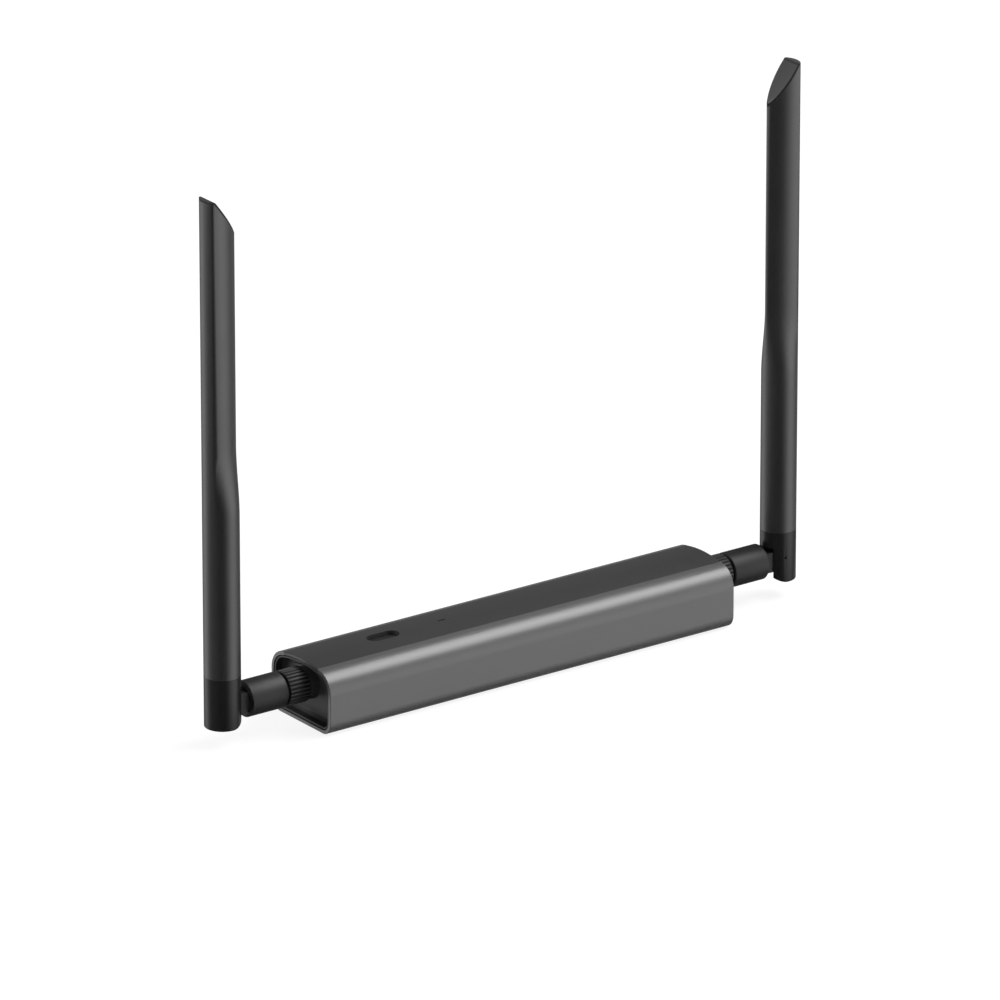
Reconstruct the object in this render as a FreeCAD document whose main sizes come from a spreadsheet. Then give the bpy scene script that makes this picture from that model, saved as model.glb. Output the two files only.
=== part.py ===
import FreeCAD, Part
import math
import os
from types import SimpleNamespace

import Sketcher

# Two-antenna smart home gateway, in millimetres.
# X runs along the housing, Y towards the back wall with the ports, Z up.
# The origin is on the surface that the housing rests on, under its middle.

doc = FreeCAD.newDocument("Gateway")

# Driving sizes: name, number, meaning
SIZES = [
    ("body_length", 145.4, "length of the housing"),
    ("body_width", 29.7, "width of the housing"),
    ("body_height", 20.15, "height of the housing at the middle of the lid"),
    ("crown_radius", 41.0, "radius of the arched top across the housing"),
    ("top_corner", 6.45, "radius of the long top corners"),
    ("bottom_corner", 4.1, "radius of the long bottom corners"),
    ("wall", 1.1, "wall of the extruded shell"),
    ("rim_chamfer", 0.15, "chamfer of the shell's end rims"),
    ("seam_half", 8.35, "half width of the open slot in the top"),
    ("lid_gap", 0.08, "gap between the lid and the slot's edge"),
    ("lid_thick", 1.0, "thickness of the lid"),
    ("lid_chamfer", 0.35, "chamfer of the lid's end edges"),
    ("rib_width", 1.2, "width of the lid's long ribs"),
    ("rib_depth", 1.8, "depth of the ribs under the lid's edge"),
    ("rib_setback", 9.0, "distance from the lid's end to its ribs"),
    ("hook_count", 5, "snap hooks along each side of the lid"),
    ("hook_length", 6.0, "length of one snap hook"),
    ("hook_reach", 0.8, "reach of a hook under the shell"),
    ("hook_height", 0.65, "height of a hook"),
    ("button_inset", 29.1, "distance of the button from the left end"),
    ("button_length", 10.8, "length of the button's well"),
    ("button_width", 5.0, "width of the button's well"),
    ("button_gap", 0.25, "gap between the button and its well"),
    ("button_sink", 1.2, "depth of the button's top below the lid"),
    ("button_travel", 0.6, "stroke of the button"),
    ("well_wall", 0.8, "wall of the well under the lid"),
    ("well_depth", 3.0, "depth of the well"),
    ("flange_height", 0.8, "height of the button's flange"),
    ("flange_gap", 0.35, "gap between the flange and the well"),
    ("stem_radius", 1.5, "radius of the button's stem"),
    ("stem_length", 1.4, "length of the button's stem"),
    ("slit_offset", 22.7, "distance of the light slit from the housing's middle"),
    ("slit_length", 2.6, "length of the light slit"),
    ("slit_width", 0.5, "width of the light slit"),
    ("pipe_gap", 0.05, "gap round the light pipe in the slit"),
    ("pipe_length", 3.6, "length of the light pipe's foot"),
    ("pipe_width", 1.6, "width of the light pipe's foot"),
    ("lamp_length", 1.6, "length of the status light"),
    ("lamp_width", 0.8, "width of the status light"),
    ("lamp_height", 0.7, "height of the status light"),
    ("cap_gap", 0.2, "gap between an end cap and the shell"),
    ("cap_sink", 0.2, "depth of a cap's lip behind the rim"),
    ("lip_width", 0.7, "width of a cap's lip"),
    ("recess_depth", 3.3, "depth of the recess behind the rim"),
    ("cap_floor", 1.8, "thickness of a cap's floor"),
    ("floor_chamfer", 1.1, "chamfer round the recess's floor"),
    ("axis_drop", 8.11, "distance of the antenna sockets' axis below the top"),
    ("boss_radius", 5.0, "radius of the boss round the socket"),
    ("boss_back", 0.3, "depth of the boss's end behind the rim"),
    ("board_thick", 1.6, "thickness of the main board"),
    ("board_edge", 0.4, "gap between the board's edge and the wall"),
    ("board_end", 2.0, "gap between the board's end and the cap"),
    ("rail_reach", 1.3, "reach of the board rails from the wall"),
    ("rail_height", 0.9, "height of a board rail"),
    ("rail_gap", 0.05, "gap between the board and its rails"),
    ("jack_radius", 3.1, "outer radius of the socket's thread"),
    ("jack_block", 6.4, "side of the socket's square body"),
    ("jack_block_length", 6.0, "length of the socket's square body"),
    ("jack_reach", 4.7, "reach of the socket beyond the rim"),
    ("contact_radius", 0.45, "radius of the connector's contact pin"),
    ("contact_reach", 3.2, "reach of the contact pin into the socket"),
    ("contact_gap", 0.15, "gap round the contact pin"),
    ("nut_gap", 0.1, "gap between the rim plane and the coupling nut"),
    ("nut_length", 6.9, "length of the coupling nut"),
    ("nut_radius", 5.4, "outer radius of the coupling nut"),
    ("knurl_count", 28, "grooves round the coupling nut"),
    ("knurl_depth", 0.35, "depth of a groove"),
    ("knurl_width", 0.7, "width of a groove"),
    ("thread_gap", 0.1, "clearance in the coupling nut's thread"),
    ("nut_wall", 1.0, "back wall of the coupling nut"),
    ("neck_gap", 0.05, "running clearance round the neck"),
    ("flange_play", 0.25, "gap round the flange in the nut"),
    ("flange_room", 1.1, "length of the flange's room in the nut"),
    ("core_flange", 3.6, "radius of the connector's flange"),
    ("core_neck", 2.4, "radius of the connector's neck"),
    ("core_shoulder", 4.6, "radius of the ring between nut and elbow"),
    ("core_shank", 3.0, "radius of the shank in the elbow"),
    ("core_shank_length", 7.5, "length of the shank in the elbow"),
    ("axial_gap", 0.1, "gap between parts that turn face to face"),
    ("groove_length", 0.8, "length of the ring between nut and elbow"),
    ("elbow_radius", 5.42, "radius of the elbow"),
    ("elbow_length", 13.05, "length of the elbow's round part"),
    ("elbow_bevel", 0.7, "chamfer at the elbow's hinge end"),
    ("elbow_chamfer", 0.3, "chamfer at the elbow's nut end"),
    ("hinge_reach", 6.6, "distance from the elbow's end to the pin"),
    ("hinge_dish", 7.25, "radius round the pin that the elbow's end leaves free"),
    ("tongue_radius", 3.1, "radius of the tongue's rounded end"),
    ("tongue_width", 6.4, "width of the tongue"),
    ("slot_gap", 0.2, "gap on each side of the tongue"),
    ("slot_top", 4.3, "height of the slot above the pin"),
    ("slot_outer", 3.5, "reach of the slot beyond the pin"),
    ("pin_radius", 1.0, "radius of the hinge pin"),
    ("pin_gap", 0.05, "running clearance of the pin in the fork"),
    ("pin_half", 4.5, "half length of the hinge pin"),
    ("pin_end_gap", 0.1, "gap at each end of the pin"),
    ("base_radius", 5.42, "radius of the whip's base"),
    ("base_drop", 6.4, "height of the pin above the base's bottom"),
    ("base_height", 15.7, "height of the base"),
    ("base_bevel", 0.9, "chamfer at the base's bottom"),
    ("dimple_radius", 0.35, "radius of the small dimple in one cheek"),
    ("spigot_radius", 3.4, "radius of the spigot in the whip"),
    ("spigot_height", 8.0, "height of the spigot"),
    ("spigot_gap", 0.1, "gap round the spigot"),
    ("feed_radius", 1.1, "radius of the feed hole"),
    ("whip_round_part", 48.7, "length of the whip's round part"),
    ("whip_blend", 21.0, "length over which the round part turns drop-shaped"),
    ("whip_top", 154.45, "height of the whip's top above the pin"),
    ("cut_drop", 4.5, "height of the whip's top above the cut on the axis"),
    ("cut_slope", 1.33, "slope of the oblique cut"),
    ("cut_chamfer", 0.25, "chamfer round the cut"),
    ("heel_angle", 40.0, "half angle of the whip's outer arc"),
    ("nose_offset", 3.9, "distance of the nose's centre from the axis"),
    ("nose_radius", 1.33, "radius of the nose above the blend"),
    ("whip_bore", 1.8, "radius of the whip's bore"),
    ("whip_bore_height", 128.0, "height of the whip's bore above the pin"),
    ("feed_wire", 1.0, "radius of the radiator's feed wire"),
    ("feed_end", 52.0, "height of the feed wire's end above the pin"),
    ("sleeve_radius", 1.6, "radius of the radiator's sleeve"),
    ("sleeve_end", 84.0, "height of the sleeve's end above the pin"),
    ("rod_radius", 0.6, "radius of the radiator's rod"),
    ("rod_end", 120.0, "height of the rod's end above the pin"),
    ("ethernet_inset", 42.7, "distance of the network socket from the right end"),
    ("ethernet_width", 16.0, "width of the network socket"),
    ("ethernet_height", 12.0, "height of the network socket"),
    ("ethernet_depth", 21.0, "depth of the network socket"),
    ("ethernet_bottom", 3.2, "height of the network socket's underside"),
    ("port_sink", 0.6, "depth of the ports' faces behind the wall"),
    ("port_gap", 0.15, "gap round a port in the wall"),
    ("plug_width", 11.8, "width of the plug's opening"),
    ("plug_height", 6.8, "height of the plug's opening"),
    ("plug_bottom", 3.2, "height of the opening above the socket's underside"),
    ("plug_depth", 13.0, "depth of the plug's opening"),
    ("latch_width", 6.2, "width of the latch's notch"),
    ("latch_height", 1.7, "height of the latch's notch"),
    ("contact_count", 8, "contact springs in the network socket"),
    ("contact_pitch", 1.02, "pitch of the contact springs"),
    ("contact_width", 0.45, "width of a contact spring"),
    ("contact_length", 7.0, "length of a contact spring"),
    ("contact_tilt", 18.0, "slope of a contact spring in degrees"),
    ("usb_offset", 6.0, "distance of the power socket from the housing's middle"),
    ("usb_width", 8.94, "width of the power socket's shell"),
    ("usb_height", 3.26, "height of the power socket's shell"),
    ("usb_depth", 7.4, "depth of the power socket"),
    ("usb_wall", 0.3, "wall of the power socket's shell"),
    ("usb_back", 0.8, "back wall of the power socket"),
    ("usb_tongue_width", 6.7, "width of the power socket's tongue"),
    ("usb_tongue_height", 0.7, "height of the power socket's tongue"),
    ("usb_tongue_sink", 1.2, "depth of the tongue's end in the shell"),
    ("port_inner", 2.6, "depth cut free behind each port"),
    ("can_height", 2.2, "height of a shielding can"),
    ("can_sheet", 0.3, "sheet of a shielding can"),
    ("cpu_offset", 8.0, "distance of the processor's can from the housing's middle"),
    ("cpu_length", 18.0, "length of the processor's can"),
    ("cpu_width", 15.0, "width of the processor's can"),
    ("radio_inset", 19.5, "distance of a radio module from the housing's end"),
    ("radio_length", 11.0, "length of a radio module"),
    ("radio_width", 16.0, "width of a radio module"),
    ("radio_board", 0.8, "thickness of a radio module's board"),
    ("radio_margin", 1.0, "margin round a radio module's can"),
    ("switch_side", 6.0, "side of the switch"),
    ("switch_height", 3.4, "height of the switch"),
    ("switch_floor", 0.9, "floor of the switch"),
    ("plunger_gap", 0.3, "gap round the switch's plunger"),
]

sheet = doc.addObject("Spreadsheet::Sheet", "Sizes")
for row, (alias, number, meaning) in enumerate(SIZES, 1):
    sheet.set(f"A{row}", meaning)
    sheet.set(f"B{row}", str(number))
    sheet.setAlias(f"B{row}", alias)
doc.recompute()


class Size:
    """A number together with the expression that binds it to the sheet."""

    def __init__(self, value, text):
        self.value = value
        self.text = text

    def __add__(self, other):
        other = as_size(other)
        return Size(self.value + other.value, f"({self.text} + {other.text})")

    def __sub__(self, other):
        other = as_size(other)
        return Size(self.value - other.value, f"({self.text} - {other.text})")

    def __mul__(self, other):
        other = as_size(other)
        return Size(self.value * other.value, f"({self.text} * {other.text})")

    def __truediv__(self, other):
        other = as_size(other)
        return Size(self.value / other.value, f"({self.text} / {other.text})")

    def __neg__(self):
        return Size(-self.value, f"(0 - {self.text})")


def as_size(number):
    if isinstance(number, Size):
        return number
    return Size(float(number), str(float(number)))


def sine(angle):
    return Size(math.sin(math.radians(angle.value)), f"sin({angle.text})")


def cosine(angle):
    return Size(math.cos(math.radians(angle.value)), f"cos({angle.text})")


def root(square):
    return Size(math.sqrt(square.value), f"sqrt({square.text})")


size = SimpleNamespace(
    **{alias: Size(float(sheet.get(alias)), f"Sizes.{alias}") for alias, number, meaning in SIZES}
)
ZERO = as_size(0)

# Planes and lengths that several pieces share
half_width = size.body_width / 2
rim_x = size.body_length / 2
button_x = size.button_inset - rim_x
slit_x = -size.slit_offset
cpu_x = -size.cpu_offset
ethernet_x = rim_x - size.ethernet_inset
usb_x = size.usb_offset
crown_centre = size.body_height - size.crown_radius
cap_outer_x = rim_x - size.cap_sink
floor_x = rim_x - size.recess_depth
cap_inner_x = floor_x - size.cap_floor
axis_height = size.body_height - size.axis_drop
board_top = axis_height - size.jack_block / 2
board_bottom = board_top - size.board_thick
board_half_width = half_width - size.wall - size.board_edge
board_half_length = cap_inner_x - size.board_end
nut_start = rim_x + size.nut_gap
nut_end = nut_start + size.nut_length
elbow_start = nut_end + size.groove_length
elbow_end = elbow_start + size.elbow_length
pin_x = elbow_end + size.hinge_reach
jack_start = cap_inner_x - size.axial_gap
jack_end = rim_x + size.jack_reach
well_bottom = size.body_height - size.well_depth
flange_top = well_bottom - size.flange_gap
flange_bottom = flange_top - size.flange_height
stem_bottom = flange_bottom - size.stem_length
lamp_top = board_top + size.lamp_height
base_top = size.base_height - size.base_drop


# Sketches
def point(x, y):
    return FreeCAD.Vector(x.value, y.value, 0)


def new_body(name):
    body = doc.addObject("PartDesign::Body", name)
    body.Label = name
    return body


def sketch(body, plane, offset=ZERO):
    """A new sketch on one of the body's own planes, moved along its normal."""
    drawing = body.newObject("Sketcher::SketchObject", f"{body.Name}_outline")
    base = [feature for feature in body.Origin.OriginFeatures if feature.Role == plane][0]
    drawing.AttachmentSupport = [(base, "")]
    drawing.MapMode = "FlatFace"
    drawing.AttachmentOffset = FreeCAD.Placement(
        FreeCAD.Vector(0, 0, offset.value), FreeCAD.Rotation()
    )
    drawing.setExpression("AttachmentOffset.Base.z", offset.text)
    return drawing


def bind(drawing, kind, *references, to):
    """A dimension of the sketch that follows an expression."""
    number = drawing.addConstraint(Sketcher.Constraint(kind, *references, to.value))
    drawing.setExpression(f"Constraints[{number}]", to.text)


def fix_point(drawing, piece, end, x, y):
    for kind, axis, distance in (("DistanceX", -2, x), ("DistanceY", -1, y)):
        if distance is ZERO:
            drawing.addConstraint(Sketcher.Constraint("PointOnObject", piece, end, axis))
        else:
            bind(drawing, kind, -1, 1, piece, end, to=distance)


def join(drawing, first, count):
    """Joins a ring of lines and arcs, each one's end to the next one's start."""
    for n in range(count):
        following = first + (n + 1) % count
        drawing.addConstraint(Sketcher.Constraint("Coincident", first + n, 2, following, 1))


def polygon(drawing, corners):
    first = drawing.GeometryCount
    for start, end in zip(corners, corners[1:] + corners[:1]):
        drawing.addGeometry(Part.LineSegment(point(*start), point(*end)))
    join(drawing, first, len(corners))
    for n, corner in enumerate(corners):
        fix_point(drawing, first + n, 1, *corner)


def rectangle(drawing, left, bottom, right, top):
    polygon(drawing, [(left, bottom), (right, bottom), (right, top), (left, top)])


def circle(drawing, x, y, radius):
    number = drawing.addGeometry(Part.Circle(point(x, y), FreeCAD.Vector(0, 0, 1), radius.value))
    fix_point(drawing, number, 3, x, y)
    bind(drawing, "Radius", number, to=radius)


def arc(drawing, x, y, radius, start, end):
    """An arc about a centre, from one angle to another in degrees, counter-clockwise."""
    ring = Part.Circle(point(x, y), FreeCAD.Vector(0, 0, 1), radius)
    return drawing.addGeometry(Part.ArcOfCircle(ring, math.radians(start), math.radians(end)))


def pill(drawing, left, right, y, radius):
    """A slot shape: left and right are the centres of its round ends."""
    first = drawing.GeometryCount
    drawing.addGeometry(Part.LineSegment(point(left, y - radius), point(right, y - radius)))
    arc(drawing, right, y, radius.value, -90, 90)
    drawing.addGeometry(Part.LineSegment(point(right, y + radius), point(left, y + radius)))
    arc(drawing, left, y, radius.value, 90, 270)
    for n in range(4):
        following = first + (n + 1) % 4
        drawing.addConstraint(Sketcher.Constraint("Tangent", first + n, 2, following, 1))
    fix_point(drawing, first + 1, 3, right, y)
    fix_point(drawing, first + 3, 3, left, y)
    for end in (first + 1, first + 3):
        bind(drawing, "Radius", end, to=radius)


def crown_outline(drawing, inset):
    """The housing's section with its rounded corners, moved inwards by a wall."""
    side = half_width - inset
    radius = size.crown_radius - inset
    top = size.top_corner - inset
    low = size.bottom_corner - inset
    low_y = side - low
    low_z = inset + low
    top_y = side - top
    reach = radius - top
    top_z = as_size(crown_centre.value + math.sqrt(reach.value ** 2 - top_y.value ** 2))
    lean = math.degrees(math.atan2(top_z.value - crown_centre.value, top_y.value))
    first = drawing.GeometryCount
    drawing.addGeometry(Part.LineSegment(point(-low_y, inset), point(low_y, inset)))
    arc(drawing, low_y, low_z, low.value, 270, 360)
    drawing.addGeometry(Part.LineSegment(point(side, low_z), point(side, top_z)))
    arc(drawing, top_y, top_z, top.value, 0, lean)
    arc(drawing, ZERO, crown_centre, radius.value, lean, 180 - lean)
    arc(drawing, -top_y, top_z, top.value, 180 - lean, 180)
    drawing.addGeometry(Part.LineSegment(point(-side, top_z), point(-side, low_z)))
    arc(drawing, -low_y, low_z, low.value, 180, 270)
    for n in range(8):
        following = first + (n + 1) % 8
        drawing.addConstraint(Sketcher.Constraint("Tangent", first + n, 2, following, 1))
    fix_point(drawing, first + 4, 3, ZERO, crown_centre)
    fix_point(drawing, first + 1, 3, low_y, low_z)
    fix_point(drawing, first + 7, 3, -low_y, low_z)
    for number, length in ((1, low), (3, top), (4, radius), (5, top), (7, low)):
        bind(drawing, "Radius", first + number, to=length)
    for number in (2, 6):
        drawing.addConstraint(Sketcher.Constraint("Vertical", first + number))


def lid_outline(drawing, side, outer, inner):
    """A strip between two arcs about the crown's centre."""
    first = drawing.GeometryCount
    low = math.sqrt(inner.value ** 2 - side.value ** 2)
    high = math.sqrt(outer.value ** 2 - side.value ** 2)
    low_lean = math.degrees(math.atan2(low, side.value))
    high_lean = math.degrees(math.atan2(high, side.value))
    under = arc(drawing, ZERO, crown_centre, inner.value, low_lean, 180 - low_lean)
    over = arc(drawing, ZERO, crown_centre, outer.value, high_lean, 180 - high_lean)
    centre = crown_centre.value
    for edge, low_end, high_end in ((side, 1, 1), (-side, 2, 2)):
        line = drawing.addGeometry(Part.LineSegment(
            FreeCAD.Vector(edge.value, centre + low, 0),
            FreeCAD.Vector(edge.value, centre + high, 0),
        ))
        drawing.addConstraint(Sketcher.Constraint("Coincident", line, 1, under, low_end))
        drawing.addConstraint(Sketcher.Constraint("Coincident", line, 2, over, high_end))
        drawing.addConstraint(Sketcher.Constraint("Vertical", line))
        bind(drawing, "DistanceX", -1, 1, line, 1, to=edge)
    for piece, radius in ((first, inner), (first + 1, outer)):
        fix_point(drawing, piece, 3, ZERO, crown_centre)
        bind(drawing, "Radius", piece, to=radius)


def whip_outline(drawing, blend):
    """The whip's section: a heel about the axis, a small nose, and a flank on each side.

    blend is 0 for the round part and 1 for the full drop shape. The flanks leave the nose
    at 45 degrees and end on the heel at its half angle.
    """
    nose_r = size.base_radius + (size.nose_radius - size.base_radius) * blend
    heel_r = size.base_radius
    nose_x = pin_x - size.nose_offset * blend
    tip = Size(math.sqrt(0.5), "sqrt(0.5)")
    joint_x = nose_x - nose_r * tip
    joint_y = nose_r * tip
    heel_x = pin_x + heel_r * cosine(size.heel_angle)
    heel_y = heel_r * sine(size.heel_angle)
    across = joint_x.value - heel_x.value
    along = joint_y.value - heel_y.value
    flank = (across ** 2 + along ** 2) / (2 * (along - across) * tip.value)
    centre_x = joint_x.value + flank * tip.value
    centre_y = joint_y.value - flank * tip.value
    lean = math.degrees(math.atan2(heel_y.value - centre_y, heel_x.value - centre_x))
    heel = arc(drawing, pin_x, ZERO, heel_r.value, -size.heel_angle.value, size.heel_angle.value)
    upper = arc(drawing, as_size(centre_x), as_size(centre_y), flank, lean, 135)
    nose = arc(drawing, nose_x, ZERO, nose_r.value, 135, 225)
    lower = arc(drawing, as_size(centre_x), as_size(-centre_y), flank, 225, 360 - lean)
    for kind, before, after in (
        ("Coincident", heel, upper),
        ("Tangent", upper, nose),
        ("Tangent", nose, lower),
        ("Coincident", lower, heel),
    ):
        drawing.addConstraint(Sketcher.Constraint(kind, before, 2, after, 1))
    fix_point(drawing, heel, 3, pin_x, ZERO)
    fix_point(drawing, heel, 2, heel_x, heel_y)
    bind(drawing, "DistanceY", -1, 1, heel, 1, to=-heel_y)
    fix_point(drawing, nose, 3, nose_x, ZERO)
    fix_point(drawing, nose, 1, joint_x, joint_y)
    bind(drawing, "DistanceY", -1, 1, nose, 2, to=-joint_y)


# Features
def extrude(kind, body, profile, length, symmetric, reverse):
    feature = body.newObject(kind, f"{body.Name}_step")
    feature.Profile = profile
    feature.SideType = "Symmetric" if symmetric else "One side"
    feature.Reversed = reverse
    feature.Length = length.value
    feature.setExpression("Length", length.text)
    doc.recompute()
    return feature


def pad(body, profile, length, symmetric=False, reverse=False):
    return extrude("PartDesign::Pad", body, profile, length, symmetric, reverse)


def pocket(body, profile, length, symmetric=False, reverse=False):
    before = body.Shape.Volume
    feature = extrude("PartDesign::Pocket", body, profile, length, symmetric, reverse)
    if body.Shape.Volume > before - 1e-6:
        raise RuntimeError(f"{body.Name}: a pocket removes nothing")
    return feature


def revolve(body, profile, axis="H_Axis"):
    feature = body.newObject("PartDesign::Revolution", f"{body.Name}_turn")
    feature.Profile = profile
    feature.ReferenceAxis = (profile, [axis])
    feature.Angle = 360
    doc.recompute()
    return feature


def round_edges(body, radius, wanted, kind="PartDesign::Fillet", amount="Radius"):
    """Rounds or chamfers the edges of the body's last feature that pass the test."""
    base = body.Tip
    names = [f"Edge{n}" for n, edge in enumerate(base.Shape.Edges, 1) if wanted(edge)]
    if not names:
        raise RuntimeError(f"{body.Name}: no edge to round")
    feature = body.newObject(kind, f"{body.Name}_edge")
    feature.Base = (base, names)
    setattr(feature, amount, radius.value)
    feature.setExpression(amount, radius.text)
    doc.recompute()
    return feature


def chamfer_edges(body, width, wanted):
    return round_edges(body, width, wanted, "PartDesign::Chamfer", "Size")


def near(a, b):
    return abs(a - b) < 1e-4


def lies_at(edge, **place):
    """True where the whole edge lies at the given x, y or z."""
    box = edge.BoundBox
    spans = {"x": (box.XMin, box.XMax), "y": (box.YMin, box.YMax), "z": (box.ZMin, box.ZMax)}
    return all(near(spans[name][0], v) and near(spans[name][1], v) for name, v in place.items())


def place(thing, side=1, lift=ZERO):
    """Stands a piece at the right end, or turned half round at the left end."""
    turn = FreeCAD.Rotation(FreeCAD.Vector(0, 0, 1), 0 if side > 0 else 180)
    thing.Placement = FreeCAD.Placement(FreeCAD.Vector(0, 0, lift.value), turn)
    if lift is not ZERO:
        thing.setExpression("Placement.Base.z", lift.text)


# Housing
def make_shell():
    body = new_body("housing_shell")
    outside = sketch(body, "YZ_Plane")
    crown_outline(outside, ZERO)
    pad(body, outside, size.body_length, symmetric=True)
    inside = sketch(body, "YZ_Plane")
    crown_outline(inside, size.wall)
    pocket(body, inside, size.body_length, symmetric=True)
    slot = sketch(body, "YZ_Plane")
    rectangle(slot, -size.seam_half, size.body_height / 2, size.seam_half, size.body_height)
    pocket(body, slot, size.body_length, symmetric=True)
    outer_radii = [size.crown_radius.value, size.top_corner.value, size.bottom_corner.value]

    def outer_rim(edge):
        if not any(lies_at(edge, x=sign * rim_x.value) for sign in (1, -1)):
            return False
        if edge.Curve.TypeId == "Part::GeomCircle":
            return any(near(edge.Curve.Radius, radius) for radius in outer_radii)
        return lies_at(edge, z=0) or near(abs(edge.BoundBox.YMin), half_width.value)

    chamfer_edges(body, size.rim_chamfer, outer_rim)
    rails = sketch(body, "YZ_Plane")
    inner = half_width - size.wall
    for sign in (1, -1):
        for low in (board_bottom - size.rail_gap - size.rail_height, board_top + size.rail_gap):
            near_side = (inner - size.rail_reach) * sign
            far_side = (inner + size.wall / 2) * sign
            left, right = (near_side, far_side) if sign > 0 else (far_side, near_side)
            rectangle(rails, left, low, right, low + size.rail_height)
    pad(body, rails, board_half_length * 2, symmetric=True)
    ports = sketch(body, "XZ_Plane", -(inner - size.port_inner))
    rectangle(
        ports,
        ethernet_x - size.ethernet_width / 2 - size.port_gap,
        size.ethernet_bottom - size.port_gap,
        ethernet_x + size.ethernet_width / 2 + size.port_gap,
        size.ethernet_bottom + size.ethernet_height + size.port_gap,
    )
    usb_radius = size.usb_height / 2
    usb_reach = size.usb_width / 2 - usb_radius
    pill(
        ports,
        usb_x - usb_reach,
        usb_x + usb_reach,
        board_top + usb_radius,
        usb_radius + size.port_gap,
    )
    pocket(body, ports, size.port_inner + size.wall * 2)


def make_lid():
    body = new_body("top_lid")
    edge_y = size.seam_half - size.lid_gap
    strip = sketch(body, "YZ_Plane")
    lid_outline(strip, edge_y, size.crown_radius, size.crown_radius - size.lid_thick)
    pad(body, strip, size.body_length, symmetric=True)
    chamfer_edges(
        body, size.lid_chamfer,
        lambda edge: edge.Curve.TypeId == "Part::GeomCircle"
        and near(edge.Curve.Radius, size.crown_radius.value),
    )
    drop = size.crown_radius - root(size.crown_radius * size.crown_radius - edge_y * edge_y)
    edge_z = size.body_height - drop - size.lid_thick
    rib_bottom = edge_z - size.rib_depth
    ribs = sketch(body, "YZ_Plane")
    rectangle(ribs, edge_y - size.rib_width, rib_bottom, edge_y, edge_z + size.lid_thick / 2)
    rectangle(ribs, -edge_y, rib_bottom, size.rib_width - edge_y, edge_z + size.lid_thick / 2)
    rib_length = size.body_length - size.rib_setback * 2
    pad(body, ribs, rib_length, symmetric=True)
    hooks = sketch(body, "XY_Plane", rib_bottom)
    count = int(size.hook_count.value)
    step = (rib_length - size.hook_length) / (size.hook_count - 1)
    for n in range(count):
        left = step * n - rib_length / 2
        right = left + size.hook_length
        rectangle(hooks, left, edge_y - size.rib_width / 2, right, edge_y + size.hook_reach)
        rectangle(hooks, left, -(edge_y + size.hook_reach), right, size.rib_width / 2 - edge_y)
    pad(body, hooks, size.hook_height)
    reach = (size.button_length - size.button_width) / 2
    left, right = button_x - reach, button_x + reach
    well = sketch(body, "XY_Plane", well_bottom)
    pill(well, left, right, ZERO, size.button_width / 2 + size.well_wall)
    pad(body, well, size.well_depth - size.lid_thick / 2)
    hole = sketch(body, "XY_Plane", size.body_height + size.lid_thick)
    pill(hole, left, right, ZERO, size.button_width / 2)
    pocket(body, hole, size.well_depth * 2)
    slit = sketch(body, "XY_Plane", size.body_height + size.lid_thick)
    slit_reach = (size.slit_length - size.slit_width) / 2
    pill(slit, slit_x - slit_reach, slit_x + slit_reach, ZERO, size.slit_width / 2)
    pocket(body, slit, size.lid_thick * 3)


def make_end_cap(name, side):
    body = new_body(name)
    inset = size.wall + size.cap_gap
    plug = sketch(body, "YZ_Plane", cap_inner_x)
    crown_outline(plug, inset)
    pad(body, plug, cap_outer_x - cap_inner_x)
    pocket_inset = inset + size.lip_width
    recess = sketch(body, "YZ_Plane", cap_outer_x)
    crown_outline(recess, pocket_inset)
    pocket(body, recess, cap_outer_x - floor_x)
    chamfer_edges(body, size.floor_chamfer, lambda edge: lies_at(edge, x=floor_x.value))
    boss = sketch(body, "YZ_Plane", floor_x)
    circle(boss, ZERO, axis_height, size.boss_radius)
    boss_end = rim_x - size.boss_back
    pad(body, boss, boss_end - floor_x)
    chamfer_edges(body, size.boss_back, lambda edge: lies_at(edge, x=boss_end.value))
    bore = sketch(body, "YZ_Plane", cap_inner_x - size.axial_gap)
    circle(bore, ZERO, axis_height, size.jack_radius + size.thread_gap)
    pocket(body, bore, size.recess_depth * 2, reverse=True)
    place(body, side)


def set_sizes(thing, **sizes):
    for name, value in sizes.items():
        setattr(thing, name, value.value)
        thing.setExpression(name, value.text)


# Button, light and switch
def make_button():
    body = new_body("button")
    radius = size.button_width / 2 - size.button_gap
    reach = (size.button_length - size.button_width) / 2
    left, right = button_x - reach, button_x + reach
    top = size.body_height - size.button_sink
    cap = sketch(body, "XY_Plane", flange_bottom)
    pill(cap, left, right, ZERO, radius)
    pad(body, cap, top - flange_bottom)
    flange = sketch(body, "XY_Plane", flange_bottom)
    pill(flange, left, right, ZERO, size.button_width / 2 + size.well_wall / 2)
    pad(body, flange, size.flange_height)
    stem = sketch(body, "XY_Plane", flange_bottom)
    circle(stem, button_x, ZERO, size.stem_radius)
    pad(body, stem, size.stem_length, reverse=True)
    chamfer_edges(body, size.button_gap, lambda edge: lies_at(edge, z=top.value))


def make_switch():
    body = new_body("tact_switch")
    half = size.switch_side / 2
    case = sketch(body, "XY_Plane", board_top)
    rectangle(case, button_x - half, -half, button_x + half, half)
    pad(body, case, size.switch_height)
    bore = sketch(body, "XY_Plane", board_top + size.switch_height)
    circle(bore, button_x, ZERO, size.stem_radius + size.plunger_gap)
    pocket(body, bore, size.switch_height - size.switch_floor)
    plunger = new_body("switch_plunger")
    bottom = board_top + size.switch_floor + size.button_travel + size.plunger_gap
    rod = sketch(plunger, "XY_Plane", bottom)
    circle(rod, button_x, ZERO, size.stem_radius)
    pad(plunger, rod, stem_bottom - bottom)


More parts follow.
